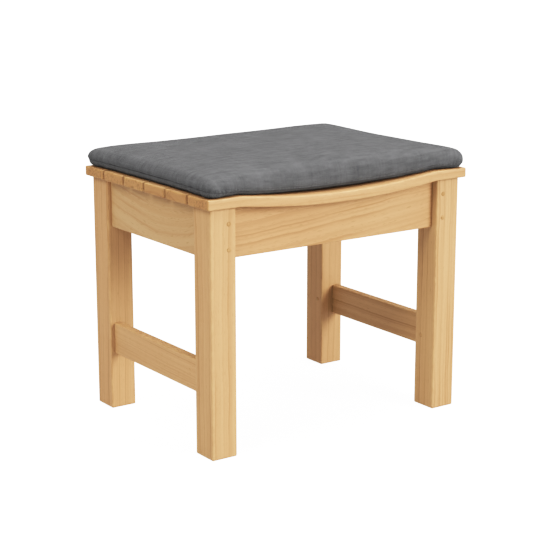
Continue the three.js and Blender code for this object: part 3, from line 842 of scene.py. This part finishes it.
def screw_thread(offset, height):
    """Share of the shank's radius: a smooth crest that climbs one pitch in each turn, over a smaller root."""
    angle = np.arctan2(offset[..., 1], offset[..., 0])
    wind = np.mod(height / THREAD_PITCH - angle / (2 * math.pi), 1.0)
    return THREAD_ROOT + (1 - THREAD_ROOT) * np.exp(-((wind - 0.5) / THREAD_CREST) ** 2)


def make_screws(material):
    """Countersunk screws, heads down: a flat head with a cross recess, a cone, a threaded shank, a point."""
    for node in sorted(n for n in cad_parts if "_screw_" in n):
        low, high = map(np.array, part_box(node))
        middle = (low + high) / 2
        length = high[2] - low[2]
        head = (high[0] - low[0]) / 2
        shank = head / 2
        radii = np.concatenate([FACE_RADII * head, [head, head, shank], np.full(THREAD_RINGS, shank),
                                [shank * 0.6, 0.0003]])
        heights = np.concatenate([np.zeros(len(FACE_RADII)), CONE_HEIGHTS,
                                  np.linspace(THREAD_START, length - POINT_LENGTH, THREAD_RINGS),
                                  [length - POINT_LENGTH / 2, length]])
        points = turned(radii, heights, (middle[0], middle[1], low[2]), (0, 0, 1), SCREW_SIDES)
        offset = points[..., :2] - middle[:2]
        flat = len(FACE_RADII)
        points[:flat, :, 2] += cross_recess(offset[:flat], head)
        wound = slice(flat + len(CONE_HEIGHTS), flat + len(CONE_HEIGHTS) + THREAD_RINGS)
        share = screw_thread(offset[wound], points[wound, :, 2])
        points[wound, :, :2] = middle[:2] + offset[wound] * share[..., None]
        piece = put_mesh(node + "_steel", points, tube_faces(*points.shape[:2]))
        dress(piece, material, "screw_steel", node)


def dress_hidden(along_y, along_z):
    """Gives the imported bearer, cleats and dowels their timber."""
    for node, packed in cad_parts.items():
        if node in ("seat_bearer", "cleat_left", "cleat_right"):
            packed.data.materials.clear()
            packed.data.materials.append(along_y)
        if node.startswith("slat_dowel"):
            packed.data.materials.clear()
            packed.data.materials.append(along_z)


# ---------------- cushion

def cushion_ring():
    """Points and outward directions round the cushion's plain rectangle: a quarter round at each corner,
    then evenly spaced points along the side that follows it."""
    points, outward = [], []
    starts = np.arange(4) * math.pi / 2
    signs = np.sign(np.stack([np.cos(starts + math.pi / 4), np.sin(starts + math.pi / 4)], -1))
    centres = signs * [COVER_HALF_X - COVER_CORNER, COVER_HALF_Y - COVER_CORNER]
    share = np.linspace(0, 1, 36)[1:-1, None]
    for start, centre, ahead in zip(starts, centres, np.roll(centres, -1, 0)):
        turn = np.linspace(start, start + math.pi / 2, 10)
        arc = np.stack([np.cos(turn), np.sin(turn)], -1)
        straight = centre + (ahead - centre) * share
        points.append(np.concatenate([centre + COVER_CORNER * arc, straight + COVER_CORNER * arc[-1]]))
        outward.append(np.concatenate([arc, np.repeat(arc[-1:], len(share), 0)]))
    return np.concatenate(points), np.concatenate(outward)


def cover_top(x, y, inset):
    """Height of the cushion's top: from the ridge over the side it climbs within a few centimetres of inset
    to a level a little higher on the right, with a low crown, sunk a little along the middle of each side,
    and two faint slow waves."""
    u, v = x / COVER_HALF_X, y / COVER_HALF_Y
    climb = 1 - np.exp(-np.clip(inset - COVER_ROLL, 0, None) / CLIMB_REACH)
    level = COVER_RIDGE + COVER_CLIMB * climb + COVER_TILT * u - CORNER_FALL * np.abs(u * v) ** 5
    crown = COVER_CROWN * (1 - u ** 2) * (1 - v ** 2)
    end_sink = np.where(u > 0, RIGHT_SINK, LEFT_SINK)
    sunk = LONG_SIDE_SINK * (1 - u ** 2) * v ** 4 + end_sink * (1 - v ** 2) * u ** 4
    wave = sum(rise * np.sin(along * x + across * y + start) for rise, along, across, start in WAVES)
    return level + crown - sunk + wave * climb


def cover_floor(place):
    """Height of the cushion's underside: on the slats, but bridging the dish a little near the long edges."""
    bridge = BRIDGE_RISE * np.clip(1 - (place[..., 0] / BRIDGE_HALF) ** 2, 0, 1)
    near = np.clip((np.abs(place[..., 1]) / COVER_HALF_Y - BRIDGE_START) / (1 - BRIDGE_START), 0, 1)
    return seat_line(place[..., 0]) + COVER_REST + bridge * near


def drawn_in(x, y):
    """How far each side is pulled in from the plain rectangle: most halfway along, nothing at the corners."""
    u, v = x / COVER_HALF_X, y / COVER_HALF_Y
    pull_x = np.where(x > 0, PULL_RIGHT, PULL_LEFT) * np.clip(1 - v ** 2, 0, 1)
    pull_y = np.where(y < 0, PULL_FRONT, PULL_BACK) * np.clip(1 - u ** 2, 0, 1)
    return pull_x, pull_y


def cushion_form():
    """The cushion before it is blown up: rings drawn in from a pulled-in outline. From the widest line the
    side rolls over by a quarter ellipse to the top and by a smaller one to the underside, which follows
    the seat."""
    outline, outward = cushion_ring()
    u, v = outline[:, 0] / COVER_HALF_X, outline[:, 1] / COVER_HALF_Y
    pull_x, pull_y = drawn_in(outline[:, 0], outline[:, 1])
    outline = outline - outward * (pull_x * outward[:, 0] ** 2 + pull_y * outward[:, 1] ** 2)[:, None]
    leftward = np.clip(-u, 0, 1) ** 8
    under = (COVER_UNDER_ROLL + LEFT_UNDER_ROLL * leftward)[:, None]
    belly = COVER_BELLY + CORNER_BELLY * np.abs(u * v) ** 4 + LEFT_BELLY * leftward
    roll = (COVER_ROLL + CORNER_ROLL * np.abs(u * v) ** 5)[:, None]
    turn = np.radians(np.linspace(0, 90, 9))
    inner_top = outline - outward * roll
    inner_low = outline - outward * under
    half = np.hypot(inner_top[:, 0], inner_top[:, 1]) * np.maximum(np.abs(u), np.abs(v))
    shares = np.concatenate([[0.985, 0.965, 0.94, 0.91], np.linspace(0.87, 0.05, 14)])
    rings = []
    for share in shares[::-1]:
        place = inner_low * share
        rings.append(np.column_stack([place, cover_floor(place)]))
    for angle in turn[::-1]:
        place = outline - outward * under * (1 - math.cos(angle))
        rings.append(np.column_stack([place, cover_floor(place) + belly * (1 - math.sin(angle))]))
    ridge = cover_top(inner_top[:, 0], inner_top[:, 1], COVER_ROLL)
    for angle in turn[1:]:
        place = outline - outward * roll * (1 - math.cos(angle))
        base = cover_floor(place) + belly
        rings.append(np.column_stack([place, base + (ridge - base) * math.sin(angle)]))
    for share in shares:
        place = inner_top * share
        inset = COVER_ROLL + (1 - share) * np.minimum(half, 0.25)
        rings.append(np.column_stack([place, cover_top(place[:, 0], place[:, 1], inset)]))
    points = np.stack(rings)
    return put_mesh("cushion_form", points, tube_faces(*points.shape[:2]))


def coords(mesh):
    """A mesh's points as an array."""
    flat = np.empty(len(mesh.vertices) * 3, np.float32)
    mesh.vertices.foreach_get("co", flat)
    return flat.reshape(-1, 3).astype(float)


def place_points(mesh, points):
    """Moves a mesh's points, none of them below the cushion's underside."""
    points[:, 2] = np.maximum(points[:, 2], cover_floor(points))
    mesh.vertices.foreach_set("co", points.astype(np.float32).ravel())
    mesh.update()


def bake_modifiers(piece):
    """Makes the piece's mesh what its modifiers leave of it, and takes them off."""
    piece.data = baked_mesh(piece)
    piece.modifiers.clear()


def baked_mesh(piece):
    """A new mesh of the piece as its modifiers leave it."""
    bpy.context.view_layer.update()
    shown = piece.evaluated_get(bpy.context.evaluated_depsgraph_get())
    return bpy.data.meshes.new_from_object(shown)


def swell(piece):
    """Where the piece's points lie after a few steps as cloth under a little pressure."""
    cloth = piece.modifiers.new("swell", "CLOTH")
    for label, value in SWELLING.items():
        setattr(cloth.settings, label, value)
    cloth.settings.effector_weights.gravity = 0
    cloth.collision_settings.use_collision = False
    cloth.point_cache.frame_start = 1
    cloth.point_cache.frame_end = SWELL_STEPS
    for step in range(1, SWELL_STEPS + 1):
        bpy.context.scene.frame_set(step)
    swollen = coords(baked_mesh(piece))
    piece.modifiers.clear()
    bpy.context.scene.frame_set(1)
    return swollen


def blow_up(piece):
    """Remeshes the form evenly, swells it less sideways than up, caps how far it moves, and smooths it."""
    even = piece.modifiers.new("even", "REMESH")
    even.mode = "VOXEL"
    even.voxel_size = REMESH_SIZE
    even.use_smooth_shade = True
    bake_modifiers(piece)
    points = coords(piece.data)
    moved = (swell(piece) - points) * [SIDE_SWELL, SIDE_SWELL, 1.0]
    far = np.linalg.norm(moved, axis=1, keepdims=True)
    points = points + moved * (SWELL_LIMIT * np.tanh(far / SWELL_LIMIT) / np.maximum(far, 1e-9))
    place_points(piece.data, points)
    finer = piece.modifiers.new("finer", "SUBSURF")
    finer.levels = 1
    finer.render_levels = 1
    bake_modifiers(piece)


def cloth_note(points):
    """Where each point lies on the cloth: x and y on top, carried on down the sides by the drop."""
    drop = np.clip(TOP_EDGE - points[:, 2], 0, None)
    pull_x, pull_y = drawn_in(points[:, 0], points[:, 1])
    u, v = points[:, 0] / (COVER_HALF_X - pull_x), points[:, 1] / (COVER_HALF_Y - pull_y)
    spread = np.zeros_like(points)
    spread[:, 0] = points[:, 0] + np.sign(u) * np.abs(u) ** 9 * drop
    spread[:, 1] = points[:, 1] + np.sign(v) * np.abs(v) ** 9 * drop
    return spread


def seam_height(place):
    """Height of the seam: close above the underside at the front, back and right, higher up the left side."""
    leftward = np.clip(-place[..., 0] / COVER_HALF_X, 0, 1) ** 6
    return cover_floor(place) + SEAM_RISE + SEAM_CLIMB * leftward


def seam_line(surface, count=640):
    """Points along the seam on the cushion's side, found by looking in from outside."""
    loop = np.column_stack(cushion_ring())
    loop = np.concatenate([loop, loop[:1]])
    gone = np.concatenate([[0], np.cumsum(np.linalg.norm(np.diff(loop[:, :2], axis=0), axis=1))])
    at = np.linspace(0, gone[-1], count, endpoint=False)
    even = np.column_stack([np.interp(at, gone, part) for part in loop.T])
    place = np.column_stack([even[:, :2], seam_height(even)])
    facing = np.column_stack([even[:, 2:], np.zeros(count)])
    facing /= np.linalg.norm(facing, axis=1, keepdims=True)
    hits = [surface.ray_cast(Vector(spot + 0.03 * away), Vector(-away), 0.08)[0]
            for spot, away in zip(place, facing)]
    found = np.array([spot if hit is None else hit for spot, hit in zip(place, hits)])
    return found, facing


def closed_tube(path, outward, radius, sides=8):
    """A closed cord: a small circle carried round a loop, in the plane of `outward` and the loop's normal."""
    ahead = np.roll(path, -1, 0) - np.roll(path, 1, 0)
    ahead /= np.linalg.norm(ahead, axis=1, keepdims=True)
    over = np.cross(ahead, outward)
    angle = np.linspace(0, 2 * math.pi, sides, endpoint=False)
    circle = np.cos(angle)[:, None] * outward[:, None] + np.sin(angle)[:, None] * over[:, None]
    here = np.arange(len(path) * sides).reshape(len(path), sides)
    beside, following = np.roll(here, -1, 1), np.roll(here, -1, 0)
    quads = np.stack([here, following, np.roll(beside, -1, 0), beside], -1).reshape(-1, 4)
    return path[:, None] + radius * circle, quads.tolist()


def make_seam(cushion, material):
    """The joining seam round the side: a fine ridge of turned cloth just proud of the cover, in a darker
    cloth that is painted shade along the crease.
    """
    faces = [tuple(face.vertices) for face in cushion.data.polygons]
    surface = BVHTree.FromPolygons(coords(cushion.data).tolist(), faces)
    path, outward = seam_line(surface)
    for _ in range(3):
        path = (np.roll(path, 1, 0) + path * 2 + np.roll(path, -1, 0)) / 4
    ridge, quads = closed_tube(path + outward * SEAM_PROUD, outward, SEAM_THREAD)
    seam = put_mesh("cushion_seam", ridge, quads, cloth=ridge)
    seam.data.materials.append(material)
    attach(seam, "cushion")


def press_seam(points):
    """Draws the cover in along the seam: a shallow dip that fades within a few millimetres each way."""
    edge = np.maximum(np.abs(points[:, 0]) / COVER_HALF_X, np.abs(points[:, 1]) / COVER_HALF_Y)
    side = np.clip((edge - SIDE_START) / SIDE_SOFT, 0, 1)
    away = points[:, 2] - seam_height(points[:, :2])
    dip = SEAM_DIP * side * np.exp(-(away / SEAM_DIP_REACH) ** 2)
    flat = points[:, :2] / np.maximum(np.abs(points[:, :2]).max(1, keepdims=True), 1e-6)
    flat /= np.linalg.norm(flat, axis=1, keepdims=True)
    points[:, :2] -= flat * dip[:, None]
    return points


def make_cushion(material, thread):
    """The loose cushion: swollen form, drawn in at its seam, woven cover."""
    piece = cushion_form()
    blow_up(piece)
    piece.name = "cushion_pad"
    mesh = piece.data
    mesh.name = "cushion_pad"
    points = press_seam(coords(mesh))
    place_points(mesh, points)
    keep_note(mesh, "cloth", cloth_note(points))
    mesh.polygons.foreach_set("use_smooth", np.full(len(mesh.polygons), True))
    mesh.materials.clear()
    mesh.update()
    dress(piece, material, "cushion_fabric", "cushion_cover", "cushion_foam", body="cushion")
    make_seam(piece, thread)


# ---------------- studio

def make_camera():
    """A long lens from the front left, a little above the seat."""
    lens = bpy.data.cameras.new("camera")
    lens.lens = LENS
    lens.sensor_width = 36.0
    lens.clip_end = 100.0
    camera = bpy.data.objects.new("camera", lens)
    camera.location = CAMERA_PLACE
    level = math.cos(CAMERA_PITCH)
    ahead = Vector((math.sin(CAMERA_YAW) * level, math.cos(CAMERA_YAW) * level, -math.sin(CAMERA_PITCH)))
    camera.rotation_mode = "QUATERNION"
    camera.rotation_quaternion = ahead.to_track_quat("-Z", "Y")
    bpy.context.scene.collection.objects.link(camera)
    bpy.context.scene.camera = camera


def sun(name, towards, strength, spread):
    """A soft even light that comes from `towards`, as wide as `spread` degrees of sky."""
    lamp = bpy.data.lights.new(name, "SUN")
    lamp.energy = strength
    lamp.angle = math.radians(spread)
    holder = bpy.data.objects.new(name, lamp)
    holder.rotation_mode = "QUATERNION"
    holder.rotation_quaternion = (-Vector(towards)).to_track_quat("-Z", "Y")
    bpy.context.scene.collection.objects.link(holder)


def soft_contrast(view):
    """A gentle print curve: firm contrast in the middle tones and a long shoulder up to white."""
    view.view_transform = "Standard"
    view.look = "None"
    view.use_curve_mapping = True
    curves = view.curve_mapping
    curves.white_level = (WHITE_LEVEL,) * 3
    for tone, shown in PRINT_CURVE:
        curves.curves[3].points.new(tone / WHITE_LEVEL, shown)
    curves.update()


def seen_or_lighting(tree, lighting):
    """A brightness: the pale glow where the camera sees it, and `lighting` where it lights the stool."""
    seen = lay(tree, "LightPath").outputs["Is Camera Ray"]
    return remap(tree, seen, 0.0, 1.0, lighting, FLOOR_GLOW, smooth=False)


def floor_sweep():
    """Even pale floor that glows as brightly as the surround, and is clear from below."""
    material, tree, shader = new_material("floor sweep")
    fill(shader, {"Base Color": FLOOR_GREY, "Roughness": 1.0, "Specular IOR Level": 0.0,
                  "Emission Color": WHITE})
    feed(tree, shader.inputs["Emission Strength"], seen_or_lighting(tree, FLOOR_BOUNCE))
    behind = lay(tree, "NewGeometry").outputs["Backfacing"]
    feed(tree, shader.inputs["Alpha"], calc(tree, "SUBTRACT", 1.0, behind))
    return material


def make_studio():
    """White floor and surround, with soft light from above, from low at the front right and from the left."""
    soft_contrast(bpy.context.scene.view_settings)
    world = bpy.data.worlds.new("surround")
    world.use_nodes = True
    around = world.node_tree.nodes["Background"]
    fill(around, {"Color": WHITE})
    feed(world.node_tree, around.inputs["Strength"], seen_or_lighting(world.node_tree, SURROUND))
    bpy.context.scene.world = world
    for name, towards, strength, spread in SUNS:
        sun(name, towards, strength, spread)
    corners = FLOOR_HALF * np.array([[-1, -1, 0], [1, -1, 0], [1, 1, 0], [-1, 1, 0]], float)
    floor = put_mesh("floor", corners, [[0, 1, 2, 3]], smooth=False)
    floor.data.materials.append(floor_sweep())


# ---------------- the whole stool

make_camera()
make_studio()
figure = oak_figure()
frame_oak = oak("frame oak", figure, (0.0036, 0.80, 0.005), (PALE, WARM, DEEP, FRAME_END))
side_oak = oak("side apron oak", figure, (0.0036, 0.62, 0.005), (SIDE_PALE, SIDE_WARM, DEEP, FRAME_END))
slat_oak = oak("slat oak", figure, (0.0040, 0.70, 0.003), (PALE, WARM, DEEP, SLAT_END))
peg_oak = oak("peg oak", figure, (0.0016, 0.60, 0.001), PEG_WOOD)
bearer_wood = oak("bearer hardwood", figure, (0.0030, 0.4, 0.002), HARDWOOD,
                  turned_grain((0, 0, -math.pi / 2)), (0.0, 0.0, 0.3))
dowel_wood = oak("dowel hardwood", figure, (0.0015, 0.4, 0.001), HARDWOOD,
                 turned_grain((0, math.pi / 2, 0)), (0.0, 0.0, 0.7))
make_legs(frame_oak)
make_aprons(frame_oak, side_oak)
make_stretchers(frame_oak)
make_slats(slat_oak)
make_pegs(peg_oak)
make_screws(screw_steel())
dress_hidden(bearer_wood, dowel_wood)
cloth_weave = weave()
make_cushion(cushion_cloth("cushion fabric", cloth_weave, COVER_YARN, COVER_GAP_SHADE),
             cushion_cloth("seam cloth with painted shade", cloth_weave, SEAM_SHADE_YARN, SEAM_GAP_SHADE))
